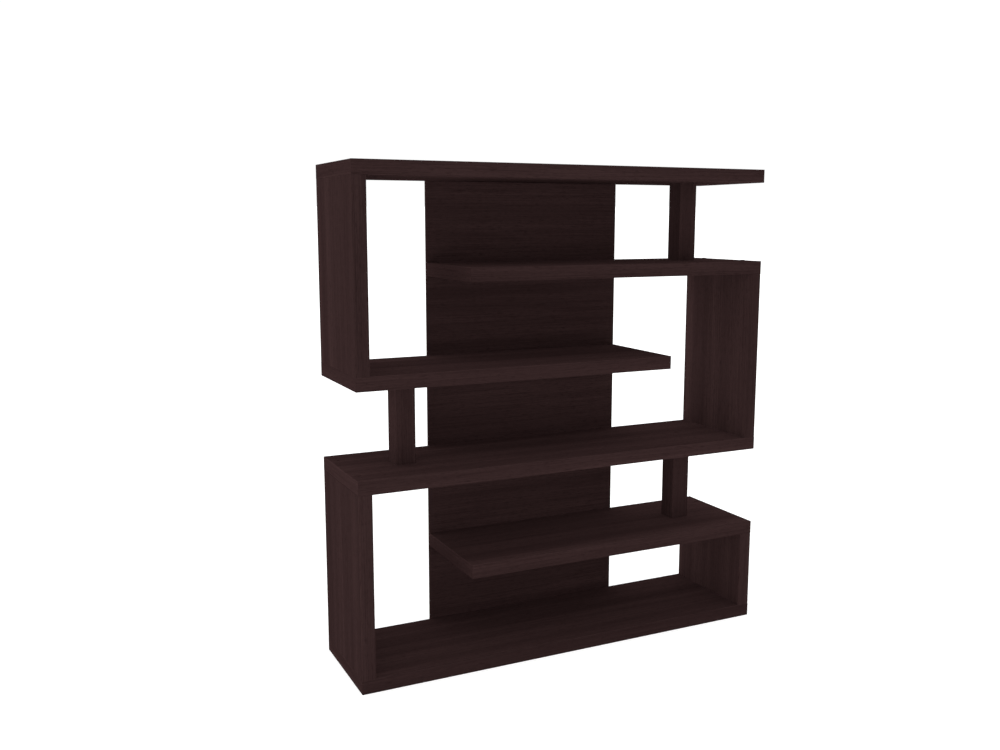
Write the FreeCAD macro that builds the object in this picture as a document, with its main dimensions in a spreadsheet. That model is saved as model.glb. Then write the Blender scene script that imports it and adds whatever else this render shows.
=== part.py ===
import FreeCAD, Part
import math
import os
import Sketcher

# Zigzag bookshelf: six horizontal boards stacked at one pitch. Side panels and posts stand between
# them, now at the left and now at the right, and a narrow back panel ties all six together.
# Millimetres, +Z up, +X to the right and +Y to the back. The origin is on the floor, below the middle
# of the whole bookshelf.

DOCUMENT_NAME = "zigzag_bookshelf"
SHEET_NAME = "sizes"
OUTPUT_FOLDER = "parts"

# Driving dimensions, each the cell of the sheet with the same alias.
SIZES = {
    # carcass
    "overall_width": 1000,
    "board_depth": 250,
    "board_thickness": 30,
    "panel_thickness": 30,
    "bay_height": 182,
    "shelf_setback": 250,
    "post_width": 46,
    "post_inset": 140,
    "post_edge_bevel": 1,
    "back_thickness": 6,
    # edge bands
    "band_thickness": 1,
    "band_edge_bevel": 0.6,
    # connecting screws, driven through a board into the end of a panel or post
    "screw_length": 70,
    "screw_diameter": 7,
    "screw_head_diameter": 10,
    "screw_head_height": 3,
    "screw_tip_diameter": 4,
    "screw_tip_length": 4,
    "socket_across_corners": 4.6,
    "socket_depth": 3,
    "screw_edge_distance": 50,
    # dowels
    "dowel_length": 35,
    "dowel_diameter": 8,
    "dowel_bevel": 1,
    "dowel_in_board": 12,
    "dowel_spacing": 32,
    "post_dowel_offset": 10,
    # cover caps, pegged into the screws' sockets
    "cap_diameter": 12,
    "cap_height": 1.8,
    "cap_bevel": 1.2,
    # wood screws of the back panel
    "back_screw_length": 30,
    "back_screw_diameter": 3.5,
    "back_screw_head_diameter": 7,
    "back_screw_head_height": 2,
    "back_screw_tip_diameter": 1,
    "back_screw_tip_length": 4,
    "back_screw_inset": 40,
    # clearances
    "hole_clearance": 0.1,
    "hole_end_clearance": 1,
    "peg_clearance": 0.2,
    "peg_end_clearance": 0.6,
}

# How far a cutter stands clear of the face that it cuts from, and the most of a band that its bevel takes.
CUT_OVERRUN = 1
BEVEL_SHARE = 0.8

# Sides of the many-sided fasteners and of their holes, few because there are so many of them.
SCREW_SIDES = 10
DOWEL_SIDES = 8
CAP_SIDES = 12
BACK_SCREW_SIDES = 8
SOCKET_SIDES = 6

# The two sides, as signs in an expression.
LEFT = "-1"
RIGHT = "1"

# Horizontal boards from the floor up: name, setback from the left side, setback from the right side.
BOARDS = [
    ("bottom_board", "0", "0"),
    ("lower_right_shelf", "sizes.shelf_setback", "0"),
    ("middle_shelf", "0", "0"),
    ("upper_left_shelf", "0", "sizes.shelf_setback"),
    ("upper_right_shelf", "sizes.shelf_setback", "0"),
    ("top_board", "0", "0"),
]
LEVELS = {row[0]: level for level, row in enumerate(BOARDS)}
FLOOR_BOARD = BOARDS[0][0]
HIGHEST_BOARD = BOARDS[-1][0]

# Uprights: name, side, the board that it stands on, the board that it carries.
SIDE_PANELS = [
    ("lower_left_side_panel", LEFT, "bottom_board", "middle_shelf"),
    ("upper_left_side_panel", LEFT, "upper_left_shelf", "top_board"),
    ("middle_right_side_panel", RIGHT, "middle_shelf", "upper_right_shelf"),
    ("lower_right_side_panel", RIGHT, "bottom_board", "lower_right_shelf"),
]
POSTS = [
    ("middle_left_post", LEFT, "middle_shelf", "upper_left_shelf"),
    ("lower_right_post", RIGHT, "lower_right_shelf", "middle_shelf"),
    ("upper_right_post", RIGHT, "upper_right_shelf", "top_board"),
]

# Places that several pieces share, as expressions on the sheet.
HALF_WIDTH = "sizes.overall_width / 2"
FRONT = "-(sizes.board_depth + sizes.back_thickness) / 2"
BOARD_BACK = "(sizes.board_depth - sizes.back_thickness) / 2"
DEPTH_MIDDLE = "-sizes.back_thickness / 2"

X_AXIS = FreeCAD.Vector(1, 0, 0)
Y_AXIS = FreeCAD.Vector(0, 1, 0)
Z_AXIS = FreeCAD.Vector(0, 0, 1)
TOUCH = 1e-6
UPRIGHT = FreeCAD.Rotation()
UPSIDE_DOWN = FreeCAD.Rotation(X_AXIS, 180)


def board_underside(board_name):
    return f"{LEVELS[board_name]} * (sizes.board_thickness + sizes.bay_height)"


def board_top(board_name):
    return f"({board_underside(board_name)} + sizes.board_thickness)"


def from_side(side, inset):
    """Place across the width at an inset from the outer face of the left or right side."""
    return f"{side} * ({HALF_WIDTH} - ({inset}))"


doc = FreeCAD.newDocument(DOCUMENT_NAME)
sheet = doc.addObject("Spreadsheet::Sheet", SHEET_NAME)
for row, (alias, size) in enumerate(SIZES.items(), start=1):
    sheet.set(f"A{row}", alias)
    sheet.set(f"B{row}", str(size))
    sheet.setAlias(f"B{row}", alias)
doc.recompute()

pieces = []
drillings = {}


def place(item, x, y, z, rotation=UPRIGHT):
    """Turn an object and tie its position to the sheet."""
    item.Placement = FreeCAD.Placement(FreeCAD.Vector(), rotation)
    for coordinate, expression in zip("xyz", (x, y, z)):
        item.setExpression(f"Placement.Base.{coordinate}", expression)


def add_piece(item, label):
    item.Label = label
    pieces.append(item)


def outline(body, role, corners):
    """Closed sketch through corners, each a pair of expressions measured from the sketch's origin."""
    sketch = body.newObject("Sketcher::SketchObject", f"{body.Name}_outline")
    plane = next(feature for feature in body.Origin.OriginFeatures if feature.Role == role)
    sketch.AttachmentSupport = [(plane, "")]
    sketch.MapMode = "FlatFace"
    points = []
    for across, along in corners:
        points.append(FreeCAD.Vector(sheet.evalExpression(across), sheet.evalExpression(along), 0))
    for index, point in enumerate(points):
        following = (index + 1) % len(points)
        sketch.addGeometry(Part.LineSegment(point, points[following]))
    for index in range(len(points)):
        following = (index + 1) % len(points)
        sketch.addConstraint(Sketcher.Constraint("Coincident", index, 2, following, 1))
    for index, corner in enumerate(corners):
        distances = zip(("DistanceX", "DistanceY"), (-2, -1), corner, points[index])
        for kind, axis, expression, distance in distances:
            if expression == "0":
                sketch.addConstraint(Sketcher.Constraint("PointOnObject", index, 1, axis))
                continue
            constraint = Sketcher.Constraint(kind, -1, 1, index, 1, distance)
            number = sketch.addConstraint(constraint)
            sketch.setExpression(f"Constraints[{number}]", expression)
    return sketch


def rectangle(width, height):
    return [("0", "0"), (width, "0"), (width, height), ("0", height)]


def padded(name, role, corners, length):
    """Body whose outline is extruded by a length."""
    body = doc.addObject("PartDesign::Body", name)
    pad = body.newObject("PartDesign::Pad", f"{name}_pad")
    pad.Profile = outline(body, role, corners)
    pad.setExpression("Length", length)
    doc.recompute()
    return body


def flat_face(corners):
    return Part.Face(Part.makePolygon(corners + corners[:1]))


def many_sided(name, sides, sections):
    """Turned piece with flat sides: rings of corners, each a radius and a height, joined by flat faces."""
    rings = []
    for radius, height in sections:
        reach = float(sheet.evalExpression(radius))
        level = float(sheet.evalExpression(height))
        ring = []
        for corner in range(sides):
            angle = 2 * math.pi * corner / sides
            ring.append(FreeCAD.Vector(reach * math.cos(angle), reach * math.sin(angle), level))
        rings.append(ring)
    faces = [flat_face(rings[0][::-1]), flat_face(rings[-1])]
    for low, high in zip(rings, rings[1:]):
        for corner in range(sides):
            following = (corner + 1) % sides
            faces.append(flat_face([low[corner], low[following], high[following], high[corner]]))
    item = doc.addObject("Part::Feature", name)
    item.Shape = Part.Solid(Part.Shell(faces))
    return item


def prism(name, across_corners, height, z):
    """Six-sided prism that starts at a height z."""
    item = doc.addObject("Part::Prism", name)
    item.Polygon = SOCKET_SIDES
    item.setExpression("Circumradius", f"({across_corners}) / 2")
    item.setExpression("Height", height)
    place(item, "0", "0", z)
    return item


def runs(edge, direction):
    return abs(edge.tangentAt(0).dot(direction)) > 1 - TOUCH


def bevelled(body, size, chosen):
    """Bevel the edges of a body that a test on each edge and its middle point chooses."""
    base = body.Tip
    names = []
    for number, edge in enumerate(base.Shape.Edges, start=1):
        if chosen(edge, edge.CenterOfMass):
            names.append(f"Edge{number}")
    chamfer = body.newObject("PartDesign::Chamfer", f"{body.Name}_bevel")
    chamfer.Base = (base, names)
    chamfer.setExpression("Size", size)
    doc.recompute()


def drilled(blank, label):
    """A blank with all the holes that were listed for it under its label."""
    tools = doc.addObject("Part::Compound", f"{label}_drillings")
    tools.Links = drillings[label]
    cut = doc.addObject("Part::Cut", label)
    cut.Base = blank
    cut.Tool = tools
    add_piece(cut, label)


def copy_of(master, x, y, z, rotation):
    link = doc.addObject("App::Link", f"{master.Name}_copy")
    link.LinkedObject = master
    place(link, x, y, z, rotation)
    return link


def hole_for(fastener, cutter, labels):
    """A hole where a fastener sits, drilled through each piece that it joins."""
    hole = doc.addObject("App::Link", f"{fastener.Name}_hole")
    hole.LinkedObject = cutter
    hole.setExpression("Placement", f"{fastener.Name}.Placement")
    for label in labels:
        drillings.setdefault(label, []).append(hole)


# Fasteners. Each stands at the origin with its head or lower end at zero and goes in along +Z.

def screw(name, sides, prefix, tip_diameter):
    """Countersunk screw: head cone, shank and tip."""
    shank = f"sizes.{prefix}_diameter / 2"
    return many_sided(name, sides, [
        (f"sizes.{prefix}_head_diameter / 2", "0"),
        (shank, f"sizes.{prefix}_head_height"),
        (shank, f"sizes.{prefix}_length - sizes.{prefix}_tip_length"),
        (f"{tip_diameter} / 2", f"sizes.{prefix}_length"),
    ])


def screw_hole(name, sides, prefix):
    """Hole of a countersunk screw, wider by the clearance and open above the head."""
    head = f"sizes.{prefix}_head_diameter / 2 + sizes.hole_clearance"
    shank = f"sizes.{prefix}_diameter / 2 + sizes.hole_clearance"
    return many_sided(name, sides, [
        (head, f"-{CUT_OVERRUN}"),
        (head, "0"),
        (shank, f"sizes.{prefix}_head_height"),
        (shank, f"sizes.{prefix}_length + sizes.hole_end_clearance"),
    ])


def connecting_screw():
    """Connecting screw with a six-sided socket in its head."""
    across = "sizes.socket_across_corners"
    depth = f"sizes.socket_depth + {CUT_OVERRUN}"
    cut = doc.addObject("Part::Cut", "connecting_screw")
    cut.Base = screw("connecting_screw_blank", SCREW_SIDES, "screw", "sizes.screw_tip_diameter")
    cut.Tool = prism("connecting_screw_socket", across, depth, f"-{CUT_OVERRUN}")
    return cut


def dowel():
    """Dowel with bevelled ends."""
    radius = "sizes.dowel_diameter / 2"
    narrow = f"{radius} - sizes.dowel_bevel"
    return many_sided("dowel", DOWEL_SIDES, [
        (narrow, "0"),
        (radius, "sizes.dowel_bevel"),
        (radius, "sizes.dowel_length - sizes.dowel_bevel"),
        (narrow, "sizes.dowel_length"),
    ])


def dowel_hole():
    radius = "sizes.dowel_diameter / 2 + sizes.hole_clearance"
    return many_sided("dowel_hole", DOWEL_SIDES, [
        (radius, "-sizes.hole_end_clearance"),
        (radius, "sizes.dowel_length + sizes.hole_end_clearance"),
    ])


def cover_cap():
    """Bevelled disc above the surface, with a six-sided peg below that presses into the screw's socket."""
    radius = "sizes.cap_diameter / 2"
    disc = many_sided("cover_cap_disc", CAP_SIDES, [
        (radius, "0"),
        (radius, "sizes.cap_height - sizes.cap_bevel"),
        (f"{radius} - sizes.cap_bevel", "sizes.cap_height"),
    ])
    across = "sizes.socket_across_corners - sizes.peg_clearance"
    cap = doc.addObject("Part::Fuse", "cover_cap")
    cap.Base = disc
    length = "(sizes.socket_depth - sizes.peg_end_clearance)"
    cap.Tool = prism("cover_cap_peg", across, length, f"-{length}")
    return cap


SCREW = connecting_screw()
SCREW_HOLE = screw_hole("connecting_screw_hole", SCREW_SIDES, "screw")
DOWEL = dowel()
DOWEL_HOLE = dowel_hole()
CAP = cover_cap()
BACK_SCREW = screw("back_screw", BACK_SCREW_SIDES, "back_screw", "sizes.back_screw_tip_diameter")
BACK_SCREW_HOLE = screw_hole("back_screw_hole", BACK_SCREW_SIDES, "back_screw")
doc.recompute()

screws = []
dowels = []
caps = []
back_screws = []


def join_end(upright, board_name, at_foot, screw_places, dowel_places):
    """Screws, caps and dowels between one end of an upright and the board there.

    A foot is screwed from under its board and a head from above, so every screw head lies on the far
    face of the board. The bottom board's own underside gets no caps, because it lies on the floor.
    """
    if at_foot:
        screw_z = board_underside(board_name)
        dowel_z = f"{board_top(board_name)} - sizes.dowel_in_board"
        inwards, outwards = UPRIGHT, UPSIDE_DOWN
    else:
        screw_z = board_top(board_name)
        dowel_z = f"{board_underside(board_name)} + sizes.dowel_in_board"
        inwards, outwards = UPSIDE_DOWN, UPRIGHT
    for x, y in screw_places:
        fastener = copy_of(SCREW, x, y, screw_z, inwards)
        hole_for(fastener, SCREW_HOLE, (board_name, upright))
        screws.append(fastener)
        if board_name != FLOOR_BOARD:
            caps.append(copy_of(CAP, x, y, screw_z, outwards))
    for x, y in dowel_places:
        pin = copy_of(DOWEL, x, y, dowel_z, inwards)
        hole_for(pin, DOWEL_HOLE, (board_name, upright))
        dowels.append(pin)


def edge_band(label, length, width, x, y, z, run, inwards):
    """Thin strip along an edge, its two outer long edges bevelled by scraping.

    The strip starts at x, y, z, goes along run and is laid on the core in the direction inwards.
    """
    band = padded(f"{label}_blank", "YZ_Plane", rectangle("sizes.band_thickness", width), length)
    bevel = f"min(sizes.band_edge_bevel; {BEVEL_SHARE} * sizes.band_thickness)"
    bevelled(band, bevel, lambda edge, middle: abs(middle.y) < TOUCH and runs(edge, X_AXIS))
    place(band, x, y, z, FreeCAD.Rotation(run, inwards, run.cross(inwards)))
    if label in drillings:
        drilled(band, label)
    else:
        add_piece(band, label)


def side_panel(label, side, below, above):
    """Panel between two boards, banded at the front and back, its ends bare under the boards."""
    middle = from_side(side, "sizes.panel_thickness / 2")
    left = f"{middle} - sizes.panel_thickness / 2"
    low = board_top(below)
    high = board_underside(above)
    height = f"{high} - {low}"
    core_depth = "sizes.board_depth - 2 * sizes.band_thickness"
    blank = padded(f"{label}_blank", "XY_Plane", rectangle("sizes.panel_thickness", core_depth), height)
    place(blank, left, f"{FRONT} + sizes.band_thickness", low)

    screw_spread = "sizes.board_depth / 2 - sizes.screw_edge_distance"
    dowel_spread = f"{screw_spread} - sizes.dowel_spacing"
    screw_places = [(middle, f"{DEPTH_MIDDLE} + {sign} * ({screw_spread})") for sign in (-1, 1)]
    dowel_places = [(middle, f"{DEPTH_MIDDLE} + {sign} * ({dowel_spread})") for sign in (-1, 1)]
    join_end(label, below, True, screw_places, dowel_places)
    join_end(label, above, False, screw_places, dowel_places)
    drilled(blank, label)

    edge_band(f"{label}_front_band", height, "sizes.panel_thickness", left, FRONT, high, -Z_AXIS, Y_AXIS)
    edge_band(f"{label}_back_band", height, "sizes.panel_thickness", left, BOARD_BACK, low, Z_AXIS, -Y_AXIS)


def post(label, side, below, above):
    """Square post between two boards, in the middle of their depth, its long edges softened."""
    middle = from_side(side, "sizes.post_inset")
    low = board_top(below)
    height = f"{board_underside(above)} - {low}"
    half = "sizes.post_width / 2"
    blank = padded(f"{label}_blank", "XY_Plane", rectangle("sizes.post_width", "sizes.post_width"), height)
    bevelled(blank, "sizes.post_edge_bevel", lambda edge, centre: runs(edge, Z_AXIS))
    place(blank, f"{middle} - {half}", f"{DEPTH_MIDDLE} - {half}", low)

    screw_places = [(middle, DEPTH_MIDDLE)]
    dowel_places = []
    for sign in (-1, 1):
        offset = f"{sign} * sizes.post_dowel_offset"
        dowel_places.append((f"{middle} + {offset}", f"{DEPTH_MIDDLE} + {offset}"))
    join_end(label, below, True, screw_places, dowel_places)
    join_end(label, above, False, screw_places, dowel_places)
    drilled(blank, label)


def back_panel():
    """Narrow panel laid on the back edges of all boards and screwed to each of them."""
    label = "back_panel"
    left = f"-({HALF_WIDTH} - sizes.shelf_setback)"
    width = "sizes.overall_width - 2 * sizes.shelf_setback"
    height = board_top(HIGHEST_BOARD)
    blank = padded("back_panel_blank", "XY_Plane", rectangle(width, "sizes.back_thickness"), height)
    place(blank, left, BOARD_BACK, "0")

    spread = f"({width}) / 2 - sizes.back_screw_inset"
    into_boards = FreeCAD.Rotation(X_AXIS, 90)
    panel_back = f"{BOARD_BACK} + sizes.back_thickness"
    for board_name in LEVELS:
        board_middle = f"{board_underside(board_name)} + sizes.board_thickness / 2"
        for column in (-1, 0, 1):
            fastener = copy_of(BACK_SCREW, f"{column} * ({spread})", panel_back, board_middle, into_boards)
            hole_for(fastener, BACK_SCREW_HOLE, (label, board_name, f"{board_name}_back_band"))
            back_screws.append(fastener)
    drilled(blank, label)


def board(label, left_setback, right_setback):
    """Horizontal board: a core banded on all four edges, the long bands covering the short ones' ends."""
    left = f"-{HALF_WIDTH} + {left_setback}"
    right = f"{HALF_WIDTH} - {right_setback}"
    low = board_underside(label)
    length = f"sizes.overall_width - {left_setback} - {right_setback}"
    core_length = f"{length} - 2 * sizes.band_thickness"
    core_depth = "sizes.board_depth - 2 * sizes.band_thickness"
    front_inside = f"{FRONT} + sizes.band_thickness"
    back_inside = f"{BOARD_BACK} - sizes.band_thickness"
    thickness = "sizes.board_thickness"
    blank = padded(f"{label}_blank", "XY_Plane", rectangle(core_length, core_depth), thickness)
    place(blank, f"{left} + sizes.band_thickness", front_inside, low)
    drilled(blank, label)

    edge_band(f"{label}_front_band", length, thickness, left, FRONT, low, X_AXIS, Y_AXIS)
    edge_band(f"{label}_back_band", length, thickness, right, BOARD_BACK, low, -X_AXIS, -Y_AXIS)
    edge_band(f"{label}_left_band", core_depth, thickness, left, back_inside, low, -Y_AXIS, X_AXIS)
    edge_band(f"{label}_right_band", core_depth, thickness, right, front_inside, low, Y_AXIS, -X_AXIS)


def fastener_group(label, copies):
    group = doc.addObject("Part::Compound", label)
    group.Links = copies
    add_piece(group, label)


# The uprights and the back panel list their screws and dowels first, then the boards are drilled.
for panel_row in SIDE_PANELS:
    side_panel(*panel_row)
for post_row in POSTS:
    post(*post_row)
back_panel()
for board_row in BOARDS:
    board(*board_row)
fastener_group("wooden_dowels", dowels)
fastener_group("connecting_screws", screws)
fastener_group("screw_cover_caps", caps)
fastener_group("back_panel_screws", back_screws)
doc.recompute()

# Every object has to be sound before anything is written.
for item in doc.Objects:
    if "Invalid" in item.State or "Error" in item.State:
        raise RuntimeError(f"{item.Label} failed: {item.State}")
for piece in pieces:
    if piece.Shape.isNull() or not piece.Shape.isValid():
        raise RuntimeError(f"{piece.Label} has no valid shape")

os.makedirs(OUTPUT_FOLDER, exist_ok=True)
for piece in pieces:
    piece.Shape.exportStep(os.path.join(OUTPUT_FOLDER, f"{piece.Label}.step"))
    print(f"{piece.Label}: {len(piece.Shape.Solids)} solids, {piece.Shape.Volume:.1f} mm3")
print(f"{len(pieces)} pieces")
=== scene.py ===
# %% [markdown]
# # A zigzag bookshelf in dark wenge
#
# The real object is an open bookshelf from a flat pack. Six horizontal boards lie one above the other,
# side panels and square posts stand between them, now at the left and now at the right, and a thin back
# panel ties all six boards together. All of it has a printed wenge face, and the sawn edges of boards and
# side panels are covered with glued bands.
#
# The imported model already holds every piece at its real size. This lesson adds what a solid can't hold:
# the printed grain, the matte finish, the worn corners, the round fasteners, the light and the camera.
# It moves no piece of the model, so everything new takes its place from the frame.

# %% Load the frame
import math

import bpy
import numpy as np
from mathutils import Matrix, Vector


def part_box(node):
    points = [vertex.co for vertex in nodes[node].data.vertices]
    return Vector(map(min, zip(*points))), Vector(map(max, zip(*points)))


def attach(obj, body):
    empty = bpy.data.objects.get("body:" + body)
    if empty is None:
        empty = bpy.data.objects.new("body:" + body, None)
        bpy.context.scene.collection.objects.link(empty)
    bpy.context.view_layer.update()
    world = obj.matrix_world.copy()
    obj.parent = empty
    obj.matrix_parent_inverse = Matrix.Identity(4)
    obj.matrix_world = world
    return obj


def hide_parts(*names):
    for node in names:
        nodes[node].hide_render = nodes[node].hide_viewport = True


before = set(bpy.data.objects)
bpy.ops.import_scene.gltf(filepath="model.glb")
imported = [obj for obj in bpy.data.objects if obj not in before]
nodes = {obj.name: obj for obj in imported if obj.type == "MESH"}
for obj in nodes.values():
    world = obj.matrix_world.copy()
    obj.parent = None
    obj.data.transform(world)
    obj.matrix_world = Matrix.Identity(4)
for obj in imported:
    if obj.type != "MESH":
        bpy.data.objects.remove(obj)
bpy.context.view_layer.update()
scene = bpy.context.scene
print("nodes in the frame:", len(nodes))

# %% [markdown]
# ## The camera
#
# A camera could be set by eye, by turning it until the picture looks right. Here the place was worked out
# from the straight edges of the boards: all edges that run the same way meet in one vanishing point, which
# gives the turn, the tilt and the focal length, and the known width of the boards gives the distance.
# So the camera is a few named values, and the model falls on the photograph's own pixels.

# %% Set the camera
IMAGE_WIDTH_PIXELS = 1000
FOCAL_LENGTH_PIXELS = 1000.58
CAMERA_PLACE = (-1.08407, -2.00789, 0.97127)
CAMERA_TURN_RIGHT = math.radians(25.574)
CAMERA_TILT_DOWN = math.radians(8.741)

camera_lens = bpy.data.cameras.new("photo_camera")
camera_lens.sensor_fit = "HORIZONTAL"
camera_lens.lens = camera_lens.sensor_width * FOCAL_LENGTH_PIXELS / IMAGE_WIDTH_PIXELS
camera = bpy.data.objects.new("photo_camera", camera_lens)
camera.location = CAMERA_PLACE
camera.rotation_euler = (math.pi / 2 - CAMERA_TILT_DOWN, 0, -CAMERA_TURN_RIGHT)
scene.collection.objects.link(camera)
scene.camera = camera
print("lens in millimetres:", round(camera_lens.lens, 2))

# %% [markdown]
# ## The floor
#
# The bookshelf stands in a plain bright studio. White paper on the floor could be a simple plane, but the
# far edge of a plane shows as a line, so the paper is a dish: flat under the bookshelf, and rising gently
# far away. Its points come from one formula for the height at each distance.

# %% Shape the floor
FLOOR_INNER_RADIUS = 0.05
FLOOR_FLAT_RADIUS = 6.0
FLOOR_EDGE_RADIUS = 14.0
FLOOR_EDGE_HEIGHT = 1.2
FLOOR_RINGS = 24
FLOOR_SPOKES = 96


def floor_dish():
    """Points and faces of the dish: the height is zero out to the flat radius, and from there it rises
    with the square of the distance, up to the edge height at the edge radius. A last face closes the
    middle."""
    reach = np.linspace(FLOOR_INNER_RADIUS, FLOOR_EDGE_RADIUS, FLOOR_RINGS)[:, None]
    angle = np.linspace(0, 2 * np.pi, FLOOR_SPOKES, endpoint=False)[None, :]
    beyond = np.clip((reach - FLOOR_FLAT_RADIUS) / (FLOOR_EDGE_RADIUS - FLOOR_FLAT_RADIUS), 0, 1)
    height = FLOOR_EDGE_HEIGHT * beyond ** 2 + 0 * angle
    points = np.stack([reach * np.cos(angle), reach * np.sin(angle), height], axis=-1)
    step = np.arange(FLOOR_SPOKES)
    following = (step + 1) % FLOOR_SPOKES
    ring = np.arange(FLOOR_RINGS - 1)[:, None] * FLOOR_SPOKES
    outer = ring + FLOOR_SPOKES
    quads = np.stack([ring + step, outer + step, outer + following, ring + following], axis=-1)
    return points.reshape(-1, 3), quads.reshape(-1, 4).tolist() + [step.tolist()]


floor_points, floor_faces = floor_dish()
floor_mesh = bpy.data.meshes.new("studio_floor")
floor_mesh.from_pydata(floor_points.tolist(), [], floor_faces)
floor_mesh.polygons.foreach_set("use_smooth", np.ones(len(floor_faces), dtype=bool))
studio_floor = bpy.data.objects.new("studio_floor", floor_mesh)
scene.collection.objects.link(studio_floor)
print("floor faces:", len(floor_faces))

# %% [markdown]
# ## Paper, and shader nodes in short lines
#
# The floor's paper is white, rough and a little uneven. It glows faintly, like paper on a light table, so
# that no shadow turns it grey.
#
# A material in Blender is a small graph of nodes. Making each node takes several calls, which hides what a
# finish is made of. One helper is enough: it makes a node, sets its properties and fills its sockets, with
# a plain value or with a link from another node's socket. All other helpers are built on it.

# %% Start the paper's finish
WHITE = (1, 1, 1, 1)
PAPER_CONSTANTS = {
    "Roughness": 0.9,
    "Specular IOR Level": 0.1,
    "Emission Color": WHITE,
    "Emission Strength": 0.34,
}


def add(tree, kind, inputs=None, **settings):
    """One shader node. Inputs are keyed by the socket's name or number."""
    made = tree.nodes.new("ShaderNode" + kind)
    for name, value in settings.items():
        setattr(made, name, value)
    for socket, value in (inputs or {}).items():
        if isinstance(value, bpy.types.NodeSocket):
            tree.links.new(value, made.inputs[socket])
        else:
            made.inputs[socket].default_value = value
    return made


def new_finish(name, constants=None):
    """A material, its node tree and its shader, with the shader's constant sockets set."""
    finish = bpy.data.materials.new(name)
    finish.use_nodes = True
    tree = finish.node_tree
    tree.nodes.clear()
    shader = add(tree, "BsdfPrincipled", constants)
    add(tree, "OutputMaterial", {"Surface": shader.outputs["BSDF"]})
    return finish, tree, shader


paper, paper_tree, paper_shader = new_finish("white_paper", PAPER_CONSTANTS)
floor_mesh.materials.append(paper)
print("constants of the paper:", ", ".join(PAPER_CONSTANTS))

# %% Colour the paper
PAPER_GREY = (0.89, 0.89, 0.89, 1)
PAPER_WHITE = (0.91, 0.91, 0.91, 1)
PAPER_FIBRES = 40.0
PAPER_DETAIL = 3.0


def noise(tree, place, scale, detail):
    """Soft noise from 0 to 1, with so many spots a metre."""
    return add(tree, "TexNoise", {"Vector": place, "Scale": scale, "Detail": detail}).outputs["Fac"]


def mixed_colours(tree, share, first, second):
    """Two colours mixed: share 0 gives the first, share 1 the second."""
    return add(tree, "Mix", {0: share, 6: first, 7: second}, data_type="RGBA").outputs[2]


def wire(tree, shader, values):
    """Links what other nodes work out to the shader's sockets of those names."""
    for name, value in values.items():
        tree.links.new(value, shader.inputs[name])


paper_place = add(paper_tree, "TexCoord").outputs["Object"]
fibres = noise(paper_tree, paper_place, PAPER_FIBRES, PAPER_DETAIL)
paper_colour = mixed_colours(paper_tree, fibres, PAPER_GREY, PAPER_WHITE)
wire(paper_tree, paper_shader, {"Base Color": paper_colour})
print("nodes in the paper's finish:", len(paper_tree.nodes))

# %% [markdown]
# ## The light
#
# Most of the light comes from everywhere, as in a tent of white cloth. Less of it finds its way into the
# inner corners, which darkens them. A low strip in front reaches the back panel under each board, and a
# weak fill from the upper left, without shadows, keeps the deep bays from going black. One lamp after the
# other could be tried by eye. Light adds up, though, so each one was rendered alone, and the strengths are
# those whose sum comes nearest to the photograph.

# %% Light the studio
TENT_STRENGTH = 1.03
STRIP_PLACE = Vector((0.0, -4.2, 0.35))
STRIP_TARGET = Vector((0.0, 0.0, 0.5))
STRIP_SIZE = (3.4, 0.6)
STRIP_POWER = 19
FILL_COMES_FROM = Vector((-0.62, 0.0, 0.79))
FILL_STRENGTH = 0.81


def hang(lamp, place, direction):
    """Hangs a lamp at a place, turned so that it shines in a direction."""
    hung = bpy.data.objects.new(lamp.name, lamp)
    hung.location = place
    hung.rotation_euler = direction.to_track_quat("-Z", "Y").to_euler()
    scene.collection.objects.link(hung)


tent = bpy.data.worlds.new("white_tent")
tent.use_nodes = True
tent_light = tent.node_tree.nodes["Background"]
tent_light.inputs["Color"].default_value = WHITE
tent_light.inputs["Strength"].default_value = TENT_STRENGTH
scene.world = tent

strip_light = bpy.data.lights.new("low_front_strip", "AREA")
strip_light.shape = "RECTANGLE"
strip_light.size, strip_light.size_y = STRIP_SIZE
strip_light.energy = STRIP_POWER
hang(strip_light, STRIP_PLACE, STRIP_TARGET - STRIP_PLACE)

fill_light = bpy.data.lights.new("fill_from_upper_left", "SUN")
fill_light.energy = FILL_STRENGTH
fill_light.use_shadow = False
hang(fill_light, FILL_COMES_FROM, -FILL_COMES_FROM)
scene.view_settings.view_transform = "Standard"
print("lights:", tent.name, strip_light.name, fill_light.name)

# %% [markdown]
# ## The wenge print
#
# Wenge is a very dark brown wood with straight grain: broad soft stripes, fine dark lines, and short pores
# that run along the grain. On these boards it is a printed and pressed face. A photograph of wood could be
# laid on as an image, but it would repeat and need unwrapping. Noise that is drawn out along the grain
# gives the same look with no picture and no seam, because it fills space and each board cuts its own slice
# from it.
#
# Three layers of drawn-out noise are enough, each with its number of streaks a metre across and along:
# stripes choose the brown, lines darken it, and pores darken it more and press into the face. A slow wander
# bends them a little, so that no streak is ruler-straight. The face is dead matte. Even a faint gloss would
# lay a white veil over so dark a wood in so bright a tent, so the shader's specular level is zero.

# %% Draw streaks along the grain
STRIPES = {"across": 21, "along": 0.6, "detail": 3.0}
LINES = {"across": 820, "along": 4, "detail": 2.0}
PORES = {"across": 2100, "along": 60, "detail": 1.0}
WANDER = {"across": 5, "along": 1.3, "detail": 1.0}
WANDER_REACH = 0.010
NOISE_MIDDLE = (0.5, 0.5, 0.5)


def streaks(tree, place, grain, pattern):
    """Noise drawn out along the grain: so many streaks a metre across it, and far fewer along it."""
    stretch = [pattern["along"] if axis == grain else pattern["across"] for axis in "XYZ"]
    drawn = add(tree, "Mapping", {"Vector": place, "Scale": stretch}).outputs["Vector"]
    return add(tree, "TexNoise", {"Vector": drawn, "Scale": 1.0, "Detail": pattern["detail"]}).outputs


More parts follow.
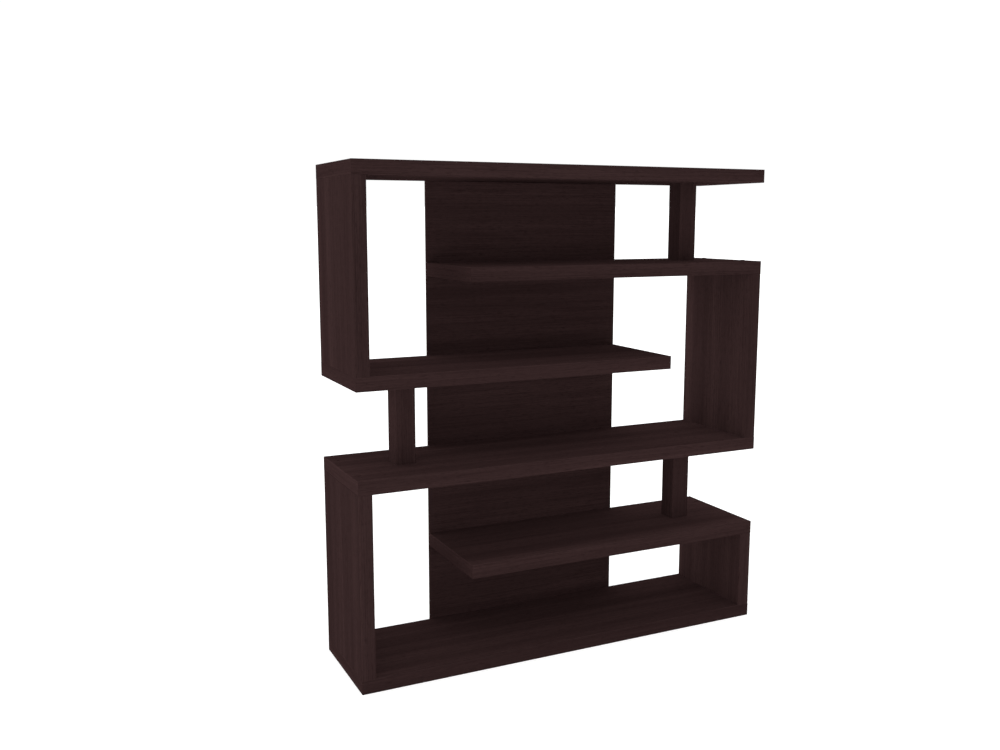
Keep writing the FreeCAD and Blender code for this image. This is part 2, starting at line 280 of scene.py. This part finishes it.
def wandering(tree, place, grain):
    """A place moved a little to and fro by slow noise, so that streaks drawn from it bend."""
    slow = streaks(tree, place, grain, WANDER)["Color"]
    swing = add(tree, "VectorMath", {0: slow, 1: NOISE_MIDDLE}, operation="SUBTRACT").outputs["Vector"]
    reach = add(tree, "VectorMath", {0: swing, "Scale": WANDER_REACH}, operation="SCALE").outputs["Vector"]
    return add(tree, "VectorMath", {0: place, 1: reach}, operation="ADD").outputs["Vector"]


print("stripes, lines and pores in a metre:", STRIPES["across"], LINES["across"], PORES["across"])

# %% Choose the browns
WENGE_DARK = (0.0298, 0.0160, 0.0159, 1)
WENGE_MIDDLE = (0.0374, 0.0203, 0.0201, 1)
WENGE_LIGHT = (0.0457, 0.0249, 0.0246, 1)
STRIPE_PLACES = (0.32, 0.50, 0.68)


def with_shade_and_tone(colour, shade_and_tone):
    """A colour made lighter or darker: partly as one sheet of print differs from the next, partly as
    painted light and shade.
    """
    return tuple(part * shade_and_tone for part in colour[:3]) + (1,)


def striped(tree, stripes, shade_and_tone):
    """The brown that a stripe chooses, from dark through middle to light."""
    ramp = add(tree, "ValToRGB", {"Fac": stripes})
    ends = ramp.color_ramp.elements
    ends[0].position, middle_place, ends[1].position = STRIPE_PLACES
    ends[0].color = with_shade_and_tone(WENGE_DARK, shade_and_tone)
    ends[1].color = with_shade_and_tone(WENGE_LIGHT, shade_and_tone)
    ends.new(middle_place).color = with_shade_and_tone(WENGE_MIDDLE, shade_and_tone)
    return ramp.outputs["Color"]


print("light wenge against dark:", round(WENGE_LIGHT[0] / WENGE_DARK[0], 2))

# %% Print and press the face
WENGE_LINE = (0.0219, 0.0112, 0.0112, 1)
WENGE_PORE = (0.0172, 0.0086, 0.0086, 1)
LINE_SPREAD = (0.46, 0.66)
LINE_STRENGTH = 0.65
PORE_SPREAD = (0.58, 0.70)
NOISE_SPREAD = (0.3, 0.7)
ROUGHNESS_SWING = 0.07
PRESS_STRENGTH = 0.6
MATTE = {"Specular IOR Level": 0.0}


def between(tree, value, low, high, to_low=0.0, to_high=1.0):
    """Brings a value from the range low to high into another range, and stops at that range's ends."""
    ends = {"Value": value, "From Min": low, "From Max": high, "To Min": to_low, "To Max": to_high}
    return add(tree, "MapRange", ends).outputs["Result"]


def pressed(tree, height, depth):
    """A normal for a pattern pressed into the face: where height is low the face lies deeper, by depth
    in metres."""
    dent = add(tree, "Bump", {"Height": height, "Distance": depth, "Strength": PRESS_STRENGTH})
    return dent.outputs["Normal"]


def wenge(name, grain, shift, roughness, pore_depth, shade_and_tone):
    """The printed face: grain is the axis of the streaks, shift moves the slice that a piece cuts, and
    shade_and_tone makes it lighter or darker, as the sheet's own lightness and as painted light and shade.
    Returns the finish, its tree, its shader and the printed colour."""
    finish, tree, shader = new_finish(name, MATTE)
    object_place = add(tree, "TexCoord").outputs["Object"]
    slice_place = add(tree, "VectorMath", {0: object_place, 1: shift}, operation="ADD").outputs["Vector"]
    place = wandering(tree, slice_place, grain)
    lines = streaks(tree, place, grain, LINES)["Fac"]
    pores = streaks(tree, place, grain, PORES)["Fac"]

    brown = striped(tree, streaks(tree, place, grain, STRIPES)["Fac"], shade_and_tone)
    line_share = between(tree, lines, *LINE_SPREAD, 0.0, LINE_STRENGTH)
    lined = mixed_colours(tree, line_share, brown, with_shade_and_tone(WENGE_LINE, shade_and_tone))
    printed = mixed_colours(tree, between(tree, pores, *PORE_SPREAD), lined, with_shade_and_tone(WENGE_PORE, shade_and_tone))
    rough = between(tree, lines, *NOISE_SPREAD, roughness - ROUGHNESS_SWING, roughness + ROUGHNESS_SWING)
    normal = pressed(tree, between(tree, pores, *PORE_SPREAD, 1.0, 0.0), pore_depth)
    wire(tree, shader, {"Base Color": printed, "Roughness": rough, "Normal": normal})
    return finish, tree, shader, printed


print("pores against the middle brown:", round(WENGE_PORE[0] / WENGE_MIDDLE[0], 2))

# %% [markdown]
# ## Boards, panels, posts and back
#
# Each piece is cut from its own place in a large sheet, so no two show the same streaks. On the uprights
# and the back a few streaks stand out, so most of their places were chosen, as a maker lays the saw where
# light and dark suit. The boards' grain runs along their length, the side panels and posts stand with it
# upright, and the back panel lies across.
#
# Sheets also differ in their tones, as one roll of print differs from the next, so some pieces are a little
# lighter or darker than the rest. The tones given here also hold painted light and shade: painted shade
# on the outer left side panels and the posts, and painted light on the middle and upper left shelves. One
# finish for all would be less work, but then every board would look the same. A finish for each piece, all
# from one function, costs little: only the axis, the slice and the lightness change.

# %% Choose slices, tones and painted shade
SLICE_STEP = np.array([1.37, 0.83, 2.2421])
CHOSEN_SLICES = {
    "lower_left_side_panel": 8.64,
    "upper_left_side_panel": 6.35,
    "middle_right_side_panel": 8.98,
    "middle_left_post": 7.33,
    "lower_right_post": 7.07,
    "upper_right_post": 5.33,
    "back_panel": 6.89,
}
USUAL_TONE = 1.0
# Each sheet's own lightness together with painted light and shade: below 1 darker, above 1 lighter.
SHEET_TONES_AND_PAINTED_SHADE = {
    "bottom_board": 0.91,
    "middle_shelf": 1.10,
    "upper_left_shelf": 1.13,
    "lower_right_shelf": 1.05,
    "lower_left_side_panel": 0.83,
    "upper_left_side_panel": 0.87,
    "middle_right_side_panel": 1.04,
    "lower_right_side_panel": 1.08,
    "middle_left_post": 0.95,
    "lower_right_post": 0.88,
    "upper_right_post": 0.88,
    "back_panel": 1.01,
}
print("tones from", min(SHEET_TONES_AND_PAINTED_SHADE.values()), "to", max(SHEET_TONES_AND_PAINTED_SHADE.values()))

# %% Dress the boards
BOARDS = (
    "bottom_board", "lower_right_shelf", "middle_shelf",
    "upper_left_shelf", "upper_right_shelf", "top_board",
)
PANELS = (
    "lower_left_side_panel", "upper_left_side_panel",
    "middle_right_side_panel", "lower_right_side_panel",
)
POSTS = ("middle_left_post", "lower_right_post", "upper_right_post")
BACK = "back_panel"
BOARD_ROUGHNESS = 0.52
PORE_DEPTH = 0.00012

grain_axes = {piece: "X" for piece in BOARDS}
grain_axes.update({piece: "Z" for piece in PANELS + POSTS})
grain_axes[BACK] = "X"
for number, (piece_name, grain_axis) in enumerate(grain_axes.items(), start=1):
    shift = SLICE_STEP * CHOSEN_SLICES.get(piece_name, number)
    # Lightness of the piece: partly its own, partly painted light and shade.
    shade_and_tone = SHEET_TONES_AND_PAINTED_SHADE.get(piece_name, USUAL_TONE)
    made = wenge(f"wenge_{piece_name}", grain_axis, shift, BOARD_ROUGHNESS, PORE_DEPTH, shade_and_tone)
    nodes[piece_name].material_slots[0].material = made[0]
print("pieces with their own slice of wenge:", len(grain_axes))

# %% [markdown]
# ## Edge bands
#
# The sawn edges of chipboard are covered with plastic strips, printed like the faces and scraped to a
# small bevel along both edges. The scraper cuts through the print, so the bevel is a little lighter, and
# hands wear it further. A brush could paint that wear, but the bevel gives itself away: its face looks
# along no axis. The largest part of its normal is about 0.7, where that of every flat face is 1.
#
# The strips come from rolls of their own, but how light or dark each is here is painted shade and light by
# the side it faces: those at the front are painted darker than the faces, the others near to them, and a
# few get painted shade or light of their own. So bands share a finish only where both the grain's axis and
# the lightness are the same.

# %% Wear the corners
BAND_WORN = (0.0500, 0.0275, 0.0268, 1)
BEVEL_NORMAL = 0.75
FLAT_NORMAL = 0.95
WEAR_PATCHES = 22.0
WEAR_DETAIL = 3.0
WEAR_SPREAD = (0.35, 0.65)
WEAR_AMOUNT = (0.15, 0.85)


def bevel_mask(tree):
    """One on a slanted face and zero on a face that looks along an axis."""
    normal = add(tree, "NewGeometry").outputs["Normal"]
    size = add(tree, "VectorMath", {0: normal}, operation="ABSOLUTE").outputs["Vector"]
    parts = add(tree, "SeparateXYZ", {"Vector": size}).outputs
    level = add(tree, "Math", {0: parts["X"], 1: parts["Y"]}, operation="MAXIMUM").outputs["Value"]
    largest = add(tree, "Math", {0: level, 1: parts["Z"]}, operation="MAXIMUM").outputs["Value"]
    return between(tree, largest, FLAT_NORMAL, BEVEL_NORMAL)


def wear_corners(tree, shader, printed, shade_and_tone):
    """Lightens the bevels of a printed strip in patches."""
    place = add(tree, "TexCoord").outputs["Object"]
    patches = noise(tree, place, WEAR_PATCHES, WEAR_DETAIL)
    amount = between(tree, patches, *WEAR_SPREAD, *WEAR_AMOUNT)
    share = add(tree, "Math", {0: amount, 1: bevel_mask(tree)}, operation="MULTIPLY").outputs["Value"]
    wire(tree, shader, {"Base Color": mixed_colours(tree, share, printed, with_shade_and_tone(BAND_WORN, shade_and_tone))})


print("worn bevel against the middle brown:", round(BAND_WORN[0] / WENGE_MIDDLE[0], 2))

# %% Dress the bands
BAND_ROUGHNESS = 0.46
BAND_PORE_DEPTH = 0.00005
# Painted shade and light on the bands, by the side each faces: front strips darker, right strips lighter.
BAND_PAINTED_SHADE_BY_SIDE = {"front": 0.79, "back": 0.91, "left": 0.91, "right": 1.03}
# Painted shade and light on single bands, darker or lighter than their side.
ODD_BAND_PAINTED_SHADE = {
    "upper_right_shelf_front_band": 0.66,
    "upper_left_side_panel_front_band": 0.66,
    "top_board_front_band": 0.72,
    "bottom_board_front_band": 0.72,
    "middle_right_side_panel_front_band": 0.72,
    "upper_right_shelf_left_band": 1.00,
    "lower_right_shelf_left_band": 1.05,
}


def longest_side(node_name):
    """The axis along which a strip is longest."""
    low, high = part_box(node_name)
    return "XYZ"[int(np.argmax(np.array(high) - np.array(low)))]


band_names = [name for name in nodes if name.endswith("_band")]
band_finishes = {}
for band_name in band_names:
    grain_axis = longest_side(band_name)
    side = band_name.split("_")[-2]
    # How light or dark a band is: painted shade and light, by its side or of its own.
    shade_and_tone = ODD_BAND_PAINTED_SHADE.get(band_name, BAND_PAINTED_SHADE_BY_SIDE[side])
    finish_name = f"edge_band_along_{grain_axis}_{round(100 * shade_and_tone)}"
    if finish_name not in band_finishes:
        shift = -SLICE_STEP * (1 + "XYZ".index(grain_axis))
        made = wenge(finish_name, grain_axis, shift, BAND_ROUGHNESS, BAND_PORE_DEPTH, shade_and_tone)
        wear_corners(*made[1:], shade_and_tone)
        band_finishes[finish_name] = made[0]
    nodes[band_name].material_slots[0].material = band_finishes[finish_name]
print("edge bands:", len(band_names), "in finishes:", len(band_finishes))

# %% [markdown]
# ## Turned pieces as surfaces of two parameters
#
# Caps, screws and dowels are turned or rolled pieces. The Spin tool would make a plain one, but a thread, a
# socket or a flute needs a radius that also changes round the axis. So each piece is a grid: one parameter
# steps along a profile, the other goes round, and radius and height are arrays over both. One set of points
# then serves for all copies of a fastener, each turned and moved by whole-array arithmetic.

# %% Turn a surface
def angles(around):
    """Equal angles round the axis."""
    return np.linspace(0, 2 * np.pi, around, endpoint=False)


def turned(radius, height):
    """Points of a turned surface: (radius cos angle, radius sin angle, height) at each step and angle.
    The last two points are the poles that close both ends, at the height of the first and last ring."""
    angle = angles(radius.shape[1])
    grid = np.stack([radius * np.cos(angle), radius * np.sin(angle), height], axis=-1)
    poles = [[0, 0, height[0].mean()], [0, 0, height[-1].mean()]]
    return np.concatenate([grid.reshape(-1, 3), poles])


def turned_faces(steps, around):
    """Quads between neighbouring rings, and a fan of triangles from each pole to its ring."""
    here = np.arange(around)
    following = (here + 1) % around
    low = np.arange(steps - 1)[:, None] * around
    high = low + around
    quads = np.stack([low + here, low + following, high + following, high + here], axis=-1).reshape(-1, 4)
    first_pole = np.full(around, steps * around)
    last_ring = (steps - 1) * around
    first_fan = np.stack([first_pole, following, here], axis=-1)
    last_fan = np.stack([last_ring + here, last_ring + following, first_pole + 1], axis=-1)
    return quads, np.concatenate([first_fan, last_fan])


print("quads and triangles of a six-sided rod:", *(len(faces) for faces in turned_faces(2, 6)))

# %% Set the copies in place
SHARP_ANGLE = math.radians(40)


def facing(signs):
    """Turns for copies: as made where the sign is 1, and half round the X axis where it is -1."""
    turns = np.zeros((len(signs), 3, 3))
    turns[:, 0, 0] = 1
    turns[:, 1, 1] = signs
    turns[:, 2, 2] = signs
    return turns


def add_fasteners(name, surface, turns, places, finish, node_name):
    """One mesh with a copy of a turned surface at each place, standing for a node of the frame."""
    radius, height = surface
    points = turned(radius, height)
    copies = np.einsum("kij,nj->kni", turns, points) + places[:, None, :]
    starts = np.arange(len(places))[:, None, None] * len(points)
    faces = []
    for kind in turned_faces(*radius.shape):
        faces += (kind[None] + starts).reshape(-1, kind.shape[1]).tolist()
    mesh = bpy.data.meshes.new(name)
    mesh.from_pydata(copies.reshape(-1, 3).tolist(), [], faces)
    mesh.polygons.foreach_set("use_smooth", np.ones(len(faces), dtype=bool))
    mesh.set_sharp_from_angle(angle=SHARP_ANGLE)
    mesh.materials.append(finish)
    piece = bpy.data.objects.new(name, mesh)
    scene.collection.objects.link(piece)
    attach(piece, "root")
    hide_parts(node_name)
    print(f"{name}: {len(places)} copies, {len(faces)} faces")


print("edges stay sharp from", round(math.degrees(SHARP_ANGLE)), "degrees")

# %% [markdown]
# ## Where the uprights are joined
#
# Each end of a panel has two screws and two dowels, and each end of a post has one screw and two dowels.
# The screw at a foot is driven up through the board below, and the screw at a head down through the board
# above. The places could be copied from a drawing, but the frame knows them: an upright's box gives its
# middle and both ends, and only the offsets from that middle are sizes of their own.

# %% Find the joints
PANEL_SCREW_OFFSETS = ((0, -0.075), (0, 0.075))
PANEL_DOWEL_OFFSETS = ((0, -0.043), (0, 0.043))
POST_SCREW_OFFSETS = ((0, 0),)
POST_DOWEL_OFFSETS = ((-0.010, -0.010), (0.010, 0.010))
board_low, board_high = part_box("top_board")
board_thickness = board_high.z - board_low.z


def joint_places(uprights, offsets):
    """Rows of x, y, z and sign, for each end of each upright. The sign is 1 at a foot and -1 at a head."""
    rows = []
    for upright in uprights:
        low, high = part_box(upright)
        middle = (low + high) / 2
        for end, sign in ((low.z, 1), (high.z, -1)):
            rows += [(middle.x + aside, middle.y + back, end, sign) for aside, back in offsets]
    return np.array(rows)


screw_joints = np.concatenate([
    joint_places(PANELS, PANEL_SCREW_OFFSETS),
    joint_places(POSTS, POST_SCREW_OFFSETS),
])
dowel_joints = np.concatenate([
    joint_places(PANELS, PANEL_DOWEL_OFFSETS),
    joint_places(POSTS, POST_DOWEL_OFFSETS),
])
head_places = screw_joints[:, :3].copy()
head_places[:, 2] -= screw_joints[:, 3] * board_thickness
print("screws:", len(screw_joints), "dowels:", len(dowel_joints))

# %% [markdown]
# ## Cover caps
#
# A moulded plastic cap hides each screw head. It has a six-sided peg that presses into the screw's socket
# and a thin disc with a crowned top. A lathe would turn the disc but not the peg, so the profile runs up
# the peg, out under the disc, round the rim and over an elliptic crown. On the peg's steps the radius
# follows a hexagon, on all others a circle. Screw heads under the bottom board get no cap, because that
# board lies on the floor.

# %% Shape a cap
CAP_RADIUS = 0.006
CAP_HEIGHT = 0.0018
CAP_RIM_HEIGHT = 0.0005
PEG_CORNER = 0.0021
PEG_LENGTH = 0.0024
CAP_AROUND = 48
CROWN_STEPS = 9
CROWN_LAST_ANGLE = 0.10


def hexagon(angle):
    """Distance from the middle of a hexagon to its side at an angle, as a share of its corner distance:
    the cosine of 30 degrees over the cosine of the angle from the side's middle."""
    return math.cos(math.pi / 6) / np.cos(angle % (math.pi / 3) - math.pi / 6)


def cap_surface():
    """Radius and height of a cap. The crown is a quarter ellipse: radius times the sine of an angle, and
    the rim's height plus the rest of the height times its cosine."""
    swing = np.linspace(math.pi / 2, CROWN_LAST_ANGLE, CROWN_STEPS)
    peg_reach = [PEG_CORNER / 2, PEG_CORNER, PEG_CORNER, CAP_RADIUS]
    reach = np.concatenate([peg_reach, CAP_RADIUS * np.sin(swing)])
    crown = CAP_RIM_HEIGHT + (CAP_HEIGHT - CAP_RIM_HEIGHT) * np.cos(swing)
    level = np.concatenate([[-PEG_LENGTH, -PEG_LENGTH, 0, 0], crown])
    six_sided = np.concatenate([[1, 1, 1, 0], np.zeros(CROWN_STEPS)])[:, None]
    angle = angles(CAP_AROUND)[None, :]
    radius = reach[:, None] * (1 + six_sided * (hexagon(angle) - 1))
    return radius, level[:, None] + 0 * angle


cap = cap_surface()
print("rings and spokes of a cap:", *cap[0].shape)

# %% Mould the caps
CAP_BROWN = (0.0292, 0.0154, 0.0152, 1)
CAP_BROWN_PALE = (0.0347, 0.0185, 0.0181, 1)
CAP_ROUGHNESS = (0.44, 0.58)
MOULD_GRAIN = 2500.0
MOULD_GRAIN_DEPTH = 0.00004
PLASTIC_FLOW = 160.0
SMALL_DETAIL = 2.0


def cap_plastic():
    """Dark brown plastic with the faint grain of a spark-eroded mould."""
    finish, tree, shader = new_finish("cap_plastic", MATTE)
    place = add(tree, "TexCoord").outputs["Object"]
    mould = noise(tree, place, MOULD_GRAIN, SMALL_DETAIL)
    flow = noise(tree, place, PLASTIC_FLOW, SMALL_DETAIL)
    wire(tree, shader, {
        "Base Color": mixed_colours(tree, flow, CAP_BROWN, CAP_BROWN_PALE),
        "Roughness": between(tree, mould, *NOISE_SPREAD, *CAP_ROUGHNESS),
        "Normal": pressed(tree, mould, MOULD_GRAIN_DEPTH),
    })
    return finish


above_floor = head_places[:, 2] > board_thickness / 2
add_fasteners(
    "round_cover_caps", cap, facing(-screw_joints[above_floor, 3]), head_places[above_floor],
    cap_plastic(), "screw_cover_caps",
)

# %% [markdown]
# ## Connecting screws
#
# The screws that pull boards and uprights together are made for chipboard: a countersunk head with a
# hexagon socket, a plain collar down to the middle of the board, a coarse thread and a blunt tip that finds
# the drilled hole. The thread could be a Screw modifier on a small triangle, but that leaves a separate
# coil. As a ridge added to the radius, which climbs once round the axis in each pitch, thread and shank are
# one closed surface.

# %% Cut a thread
THREAD_RIDGE_SHARE = 0.6
STEPS_PER_TURN = 5


def thread(turns, angle):
    """Height of a screw thread from 0 to 1: one ridge each turn, which climbs once round the axis and
    takes up the ridge's share of the pitch."""
    phase = (turns[:, None] - angle[None, :] / (2 * np.pi)) % 1
    return np.clip(1 - np.abs(2 * phase - 1) / THREAD_RIDGE_SHARE, 0, 1)


def threaded_shank(start, end, core, crest, pitch, around):
    """Radius and height of a thread from start to end: the core plus the ridge, which grows out of the
    core within its first turn and runs out within its last."""
    level = np.linspace(start, end, int(round((end - start) / pitch * STEPS_PER_TURN)))
    growth = np.clip((level - start) / pitch, 0, 1) * np.clip((end - level) / pitch, 0, 1)
    ridge = thread(level / pitch, angles(around)) * growth[:, None]
    return core + (crest - core) * ridge, level[:, None] + np.zeros(around)


print("steps in a turn of the thread:", STEPS_PER_TURN)

# %% Shape a connecting screw
SCREW_HEAD_RADIUS = 0.005
SCREW_HEAD_HEIGHT = 0.003
SCREW_RADIUS = 0.0035
SCREW_CORE_RADIUS = 0.0025
SCREW_TIP_RADIUS = 0.002
SCREW_LENGTH = 0.070
SCREW_TIP_LENGTH = 0.004
SCREW_TIP_BEVEL = 0.0006
SCREW_PITCH = 0.003
SOCKET_CORNER = 0.0023
SOCKET_DEPTH = 0.003
SCREW_AROUND = 18


def connecting_screw_surface():
    """Radius and height of a screw: from the socket's floor out to the head's rim, down the countersink
    and the collar, along the thread and to the tip. On the socket's steps the radius follows a hexagon."""
    angle = angles(SCREW_AROUND)
    collar_end = board_thickness / 2
    thread_end = SCREW_LENGTH - SCREW_TIP_LENGTH
    socket_reach = [SOCKET_CORNER / 2, SOCKET_CORNER, SOCKET_CORNER]
    top_reach = socket_reach + [SCREW_HEAD_RADIUS, SCREW_RADIUS, SCREW_RADIUS]
    top_level = [SOCKET_DEPTH, SOCKET_DEPTH, 0, 0, SCREW_HEAD_HEIGHT, collar_end]
    six_sided = np.array([1, 1, 1, 0, 0, 0])[:, None]
    top_radius = np.array(top_reach)[:, None] * (1 + six_sided * (hexagon(angle) - 1))
    top_height = np.array(top_level)[:, None] + 0 * angle
    shank_radius, shank_height = threaded_shank(
        collar_end + SCREW_PITCH / 2, thread_end,
        SCREW_CORE_RADIUS, SCREW_RADIUS, SCREW_PITCH, SCREW_AROUND,
    )
    tip_radius = np.array([SCREW_TIP_RADIUS, SCREW_TIP_RADIUS - SCREW_TIP_BEVEL])[:, None] + 0 * angle
    tip_height = np.array([SCREW_LENGTH - SCREW_TIP_BEVEL, SCREW_LENGTH])[:, None] + 0 * angle
    radius = np.concatenate([top_radius, shank_radius, tip_radius])
    return radius, np.concatenate([top_height, shank_height, tip_height])


connecting_screw = connecting_screw_surface()
print("rings and spokes of a connecting screw:", *connecting_screw[0].shape)

# %% Plate and drive the connecting screws
ZINC_COOL = (0.34, 0.35, 0.365, 1)
ZINC_YELLOWISH = (0.41, 0.39, 0.34, 1)
ZINC_ROUGHNESS = (0.24, 0.42)
ZINC_CLOUDS = 320.0
ZINC_CLOUD_SPREAD = (0.35, 0.65)
ROLLING_MARKS = 3200.0
ROLLING_MARK_DEPTH = 0.00002
METAL = {"Metallic": 1.0}


def zinc_plate():
    """Bright zinc on steel: a cool and a yellowish tone in soft clouds, with fine rolling marks."""
    finish, tree, shader = new_finish("zinc_plate", METAL)
    place = add(tree, "TexCoord").outputs["Object"]
    clouds = between(tree, noise(tree, place, ZINC_CLOUDS, SMALL_DETAIL), *ZINC_CLOUD_SPREAD)
    marks = noise(tree, place, ROLLING_MARKS, SMALL_DETAIL)
    wire(tree, shader, {
        "Base Color": mixed_colours(tree, clouds, ZINC_COOL, ZINC_YELLOWISH),
        "Roughness": between(tree, marks, *NOISE_SPREAD, *ZINC_ROUGHNESS),
        "Normal": pressed(tree, marks, ROLLING_MARK_DEPTH),
    })
    return finish


zinc = zinc_plate()
add_fasteners(
    "threaded_connecting_screws", connecting_screw, facing(screw_joints[:, 3]), head_places,
    zinc, "connecting_screws",
)

# %% [markdown]
# ## Dowels
#
# Beech dowels keep an upright from turning. They are fluted, so that the glue can rise along them, and
# their ends are bevelled to find the hole. Flutes could be cut one by one with a boolean, but they are
# simply a wave on the radius, as many waves round the axis as there are flutes. They lie hidden in the
# joints, but a model that comes apart shows them.

# %% Shape a dowel
DOWEL_RADIUS = 0.004
DOWEL_LENGTH = 0.035
DOWEL_BEVEL = 0.001
DOWEL_FLUTES = 18
SPOKES_PER_FLUTE = 4
DOWEL_AROUND = SPOKES_PER_FLUTE * DOWEL_FLUTES
FLUTE_DEPTH = 0.00025


def dowel_surface():
    """Radius and height of a dowel: a rod with bevelled ends, less a wave round the axis for the flutes."""
    levels = [0, DOWEL_BEVEL, DOWEL_LENGTH / 2, DOWEL_LENGTH - DOWEL_BEVEL, DOWEL_LENGTH]
    level = np.array(levels)[:, None]
    to_end = np.minimum(level, DOWEL_LENGTH - level)
    rod = DOWEL_RADIUS - np.clip(DOWEL_BEVEL - to_end, 0, None)
    wave = 0.5 - 0.5 * np.cos(DOWEL_FLUTES * angles(DOWEL_AROUND))[None, :]
    return rod - FLUTE_DEPTH * wave, level + 0 * wave


dowel = dowel_surface()
print("rings and spokes of a dowel:", *dowel[0].shape)

# %% Set the dowels
DOWEL_IN_BOARD = 0.012
BEECH_PALE = (0.60, 0.40, 0.23, 1)
BEECH_DARK = (0.47, 0.29, 0.15, 1)
BEECH_ROUGHNESS = (0.62, 0.74)
BEECH_FLECKS = {"across": 1800, "along": 240, "detail": 2.0}
BEECH_FLECK_SPREAD = (0.4, 0.65)
BEECH_FLECK_DEPTH = 0.00005


def beech():
    """Pale beech with short darker flecks along the dowel."""
    finish, tree, shader = new_finish("beech")
    place = add(tree, "TexCoord").outputs["Object"]
    flecks = streaks(tree, place, "Z", BEECH_FLECKS)["Fac"]
    fleck_share = between(tree, flecks, *BEECH_FLECK_SPREAD)
    wire(tree, shader, {
        "Base Color": mixed_colours(tree, fleck_share, BEECH_PALE, BEECH_DARK),
        "Roughness": between(tree, flecks, *NOISE_SPREAD, *BEECH_ROUGHNESS),
        "Normal": pressed(tree, flecks, BEECH_FLECK_DEPTH),
    })
    return finish


dowel_places = dowel_joints[:, :3].copy()
dowel_places[:, 2] -= dowel_joints[:, 3] * DOWEL_IN_BOARD
add_fasteners(
    "fluted_dowels", dowel, facing(dowel_joints[:, 3]), dowel_places,
    beech(), "wooden_dowels",
)

# %% [markdown]
# ## Screws of the back panel
#
# Three small countersunk screws hold the back panel to each board, a hair proud of its back. They have a
# cross recess, which a boolean cut would make with many small faces. Seen from its middle, a cross has one
# outline distance at each angle, so it can be a ring of the turned surface itself. With 24 spokes, 15
# degrees apart, a spoke falls on each corner of the cross. A screw stops where it is tight, so each copy is
# turned on its axis by another angle.

# %% Outline the cross recess
RECESS_HALF_LENGTH = 0.0019
RECESS_ARM_ANGLE = math.radians(15)
RECESS_HALF_WIDTH = RECESS_HALF_LENGTH * math.tan(RECESS_ARM_ANGLE)
TINY = 1e-6


def cross_outline(angle):
    """Distance from the middle of a cross to its outline. Within the arm's angle of an arm's axis this is
    the half length over the cosine, at the arm's end, and beyond it the half width over the sine, at its
    side. A tiny least sine keeps the division defined on the axis."""
    from_axis = np.abs((angle + math.pi / 4) % (math.pi / 2) - math.pi / 4)
    side = RECESS_HALF_WIDTH / np.maximum(np.sin(from_axis), TINY)
    return np.minimum(RECESS_HALF_LENGTH / np.cos(from_axis), side)


print("half width of an arm in metres:", round(RECESS_HALF_WIDTH, 5))

# %% Shape a back screw
BACK_SCREW_HEAD_RADIUS = 0.0035
BACK_SCREW_HEAD_HEIGHT = 0.002
BACK_SCREW_NECK = 0.001
BACK_SCREW_RADIUS = 0.00175
BACK_SCREW_CORE_RADIUS = 0.00115
BACK_SCREW_PITCH = 0.0016
BACK_SCREW_LENGTH = 0.030
BACK_SCREW_TIP_LENGTH = 0.004
BACK_SCREW_TIP_SHARES = {"radius": (0.6, 0.15), "still_to_go": (0.4, 0.0)}
BACK_SCREW_AROUND = 24
RECESS_DEPTH = 0.0011
RECESS_FLOOR_SHARES = (0.35, 0.75)


def back_screw_surface():
    """Radius and height of a wood screw: the recess from its floor up to its outline, then the head's flat
    face, the countersink, the thread and the tip."""
    angle = angles(BACK_SCREW_AROUND)[None, :]
    floor_radius = np.array(RECESS_FLOOR_SHARES)[:, None] * cross_outline(angle)
    floor_height = np.full_like(floor_radius, RECESS_DEPTH)
    head_radius = np.array([BACK_SCREW_HEAD_RADIUS, BACK_SCREW_CORE_RADIUS])[:, None] + 0 * angle
    head_height = np.array([0, BACK_SCREW_HEAD_HEIGHT])[:, None] + 0 * angle
    shank_radius, shank_height = threaded_shank(
        BACK_SCREW_HEAD_HEIGHT + BACK_SCREW_NECK, BACK_SCREW_LENGTH - BACK_SCREW_TIP_LENGTH,
        BACK_SCREW_CORE_RADIUS, BACK_SCREW_RADIUS, BACK_SCREW_PITCH, BACK_SCREW_AROUND,
    )
    tip_reach = np.array(BACK_SCREW_TIP_SHARES["radius"])[:, None] * BACK_SCREW_CORE_RADIUS
    to_go = np.array(BACK_SCREW_TIP_SHARES["still_to_go"])[:, None] * BACK_SCREW_TIP_LENGTH
    tip_radius = tip_reach + 0 * angle
    tip_height = BACK_SCREW_LENGTH - to_go + 0 * angle
    radius = np.concatenate([floor_radius, cross_outline(angle), head_radius, shank_radius, tip_radius])
    height = np.concatenate([floor_height, 0 * angle, head_height, shank_height, tip_height])
    return radius, height


back_screw = back_screw_surface()
print("rings and spokes of a back screw:", *back_screw[0].shape)

# %% Drive the back screws
BACK_SCREW_INSET = 0.040
BACK_SCREW_COLUMNS = 3
BACK_SCREW_PROUD = 0.0002
TURN_STEP = math.radians(137.5)


def back_screw_turns(count):
    """Turns for copies: each by its own angle round its axis, then laid over to point to the front."""
    turn = np.arange(count) * TURN_STEP
    lay_over = np.array([[1, 0, 0], [0, 0, -1], [0, 1, 0]])
    spin = np.zeros((count, 3, 3))
    spin[:, 0, 0] = np.cos(turn)
    spin[:, 0, 1] = -np.sin(turn)
    spin[:, 1, 0] = np.sin(turn)
    spin[:, 1, 1] = np.cos(turn)
    spin[:, 2, 2] = 1
    return lay_over @ spin


back_low, back_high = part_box(BACK)
left_column = back_low.x + BACK_SCREW_INSET
right_column = back_high.x - BACK_SCREW_INSET
columns = np.linspace(left_column, right_column, BACK_SCREW_COLUMNS)
board_middles = [sum(corner.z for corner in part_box(board)) / 2 for board in BOARDS]
across, upward = np.meshgrid(columns, board_middles)
head_depths = np.full(across.size, back_high.y + BACK_SCREW_PROUD)
back_screw_places = np.stack([across.ravel(), head_depths, upward.ravel()], axis=-1)
add_fasteners(
    "cross_recess_back_screws", back_screw, back_screw_turns(across.size), back_screw_places,
    zinc, "back_panel_screws",
)
